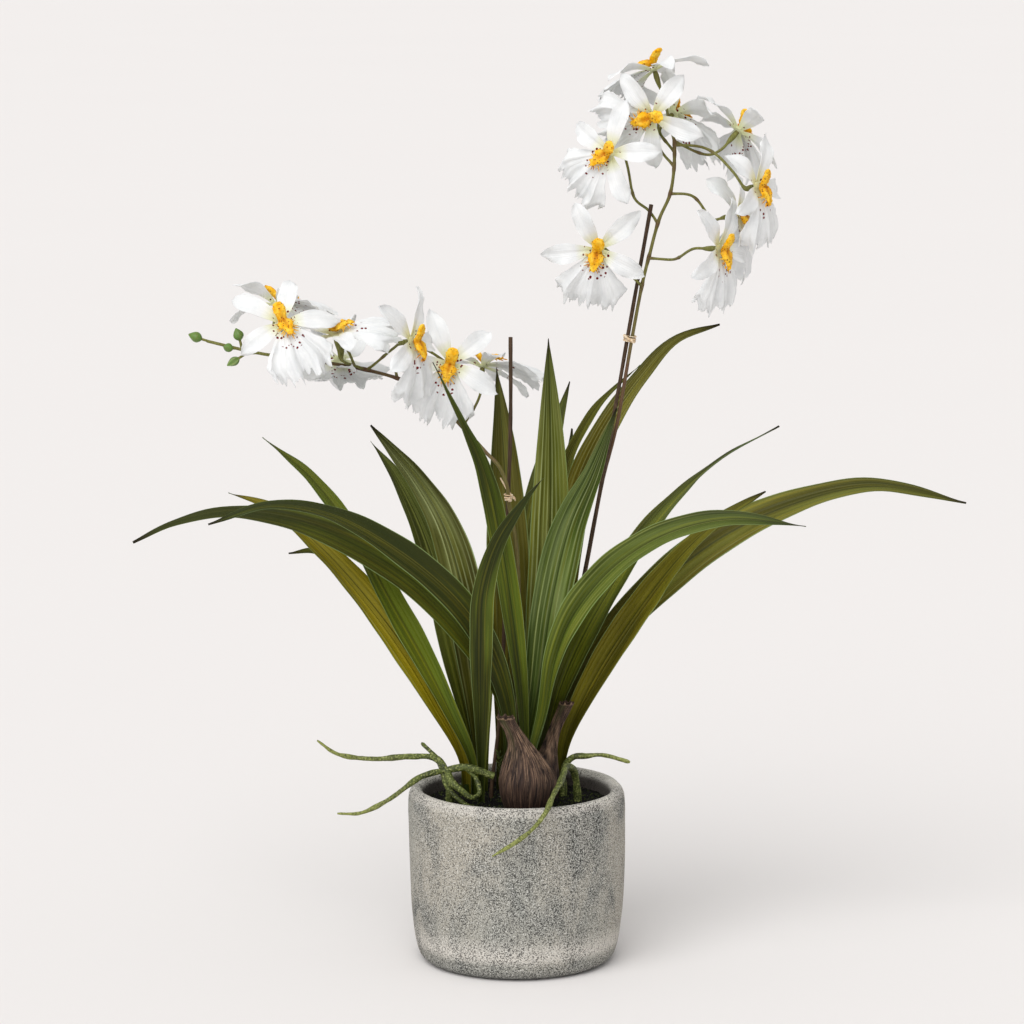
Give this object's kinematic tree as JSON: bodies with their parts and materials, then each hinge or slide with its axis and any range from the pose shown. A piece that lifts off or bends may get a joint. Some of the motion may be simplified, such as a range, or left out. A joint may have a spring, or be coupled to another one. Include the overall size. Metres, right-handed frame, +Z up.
{
  "type": "potted oncidium orchid",
  "caption": "Orchid with strap leaves, brown pseudobulbs and branching sprays of frilled white flowers on staked stems, growing in a plain round pot, for a table or sill.",
  "frame": {"origin": "centre of the pot's flat underside", "axes": "+Z up, -Y towards the viewer, the side that most flowers face, +X to the right of the plant seen from the front"},
  "size_m": [0.6465, 0.2388, 0.7061],
  "materials": {
    "pot": "cast stone, matte, finely speckled",
    "soil": "dark bark compost with moss, matte",
    "bulb": "dry fibrous husk, matte",
    "root": "mossy green aerial root, matte",
    "stake": "thin brown cane, satin",
    "stem": "olive green stem, satin",
    "tie": "dry raffia, matte",
    "leaf": "waxy leaf, satin",
    "petal": "soft white petal, matte",
    "callus": "golden yellow, matte"
  },
  "bodies": {
    "root": {"bloom_left_back_callus": "callus", "bloom_left_back_petals": "petal", "bloom_left_front_callus": "callus", "bloom_left_front_petals": "petal", "bloom_left_high_callus": "callus", "bloom_left_high_petals": "petal", "bloom_left_low_back_callus": "callus", "bloom_left_low_back_petals": "petal", "bloom_left_middle_callus": "callus", "bloom_left_middle_petals": "petal", "bloom_left_tip_back_callus": "callus", "bloom_left_tip_back_petals": "petal", "bloom_left_tip_front_callus": "callus", "bloom_left_tip_front_petals": "petal", "bloom_right_back_callus": "callus", "bloom_right_back_petals": "petal", "bloom_right_crown_back_callus": "callus", "bloom_right_crown_back_petals": "petal", "bloom_right_crown_callus": "callus", "bloom_right_crown_petals": "petal", "bloom_right_left_high_callus": "callus", "bloom_right_left_high_petals": "petal", "bloom_right_left_low_callus": "callus", "bloom_right_left_low_petals": "petal", "bloom_right_outer_high_callus": "callus", "bloom_right_outer_high_petals": "petal", "bloom_right_outer_low_callus": "callus", "bloom_right_outer_low_petals": "petal", "bloom_right_outer_middle_callus": "callus", "bloom_right_outer_middle_petals": "petal", "bloom_right_top_callus": "callus", "bloom_right_top_petals": "petal", "bulb_back": "bulb", "bulb_front": "bulb", "leaf_centre": "leaf", "leaf_centre_left": "leaf", "leaf_centre_right": "leaf", "leaf_front": "leaf", "leaf_left_back": "leaf", "leaf_left_slender": "leaf", "leaf_pair_centre_back": "leaf", "leaf_pair_left_arching": "leaf", "leaf_pair_left_outer": "leaf", "leaf_pair_left_upright": "leaf", "leaf_pair_right_long": "leaf", "leaf_right_front": "leaf", "leaf_right_high": "leaf", "leaf_right_middle": "leaf", "leaf_right_thin": "leaf", "pot": "pot", "root_front": "root", "root_left": "root", "root_right": "root", "soil": "soil", "stake_left": "stake", "stake_right": "stake", "stem_left": "stem", "stem_right": "stem", "tie_left": "tie", "tie_right": "tie"}
  },
  "joints": []
}
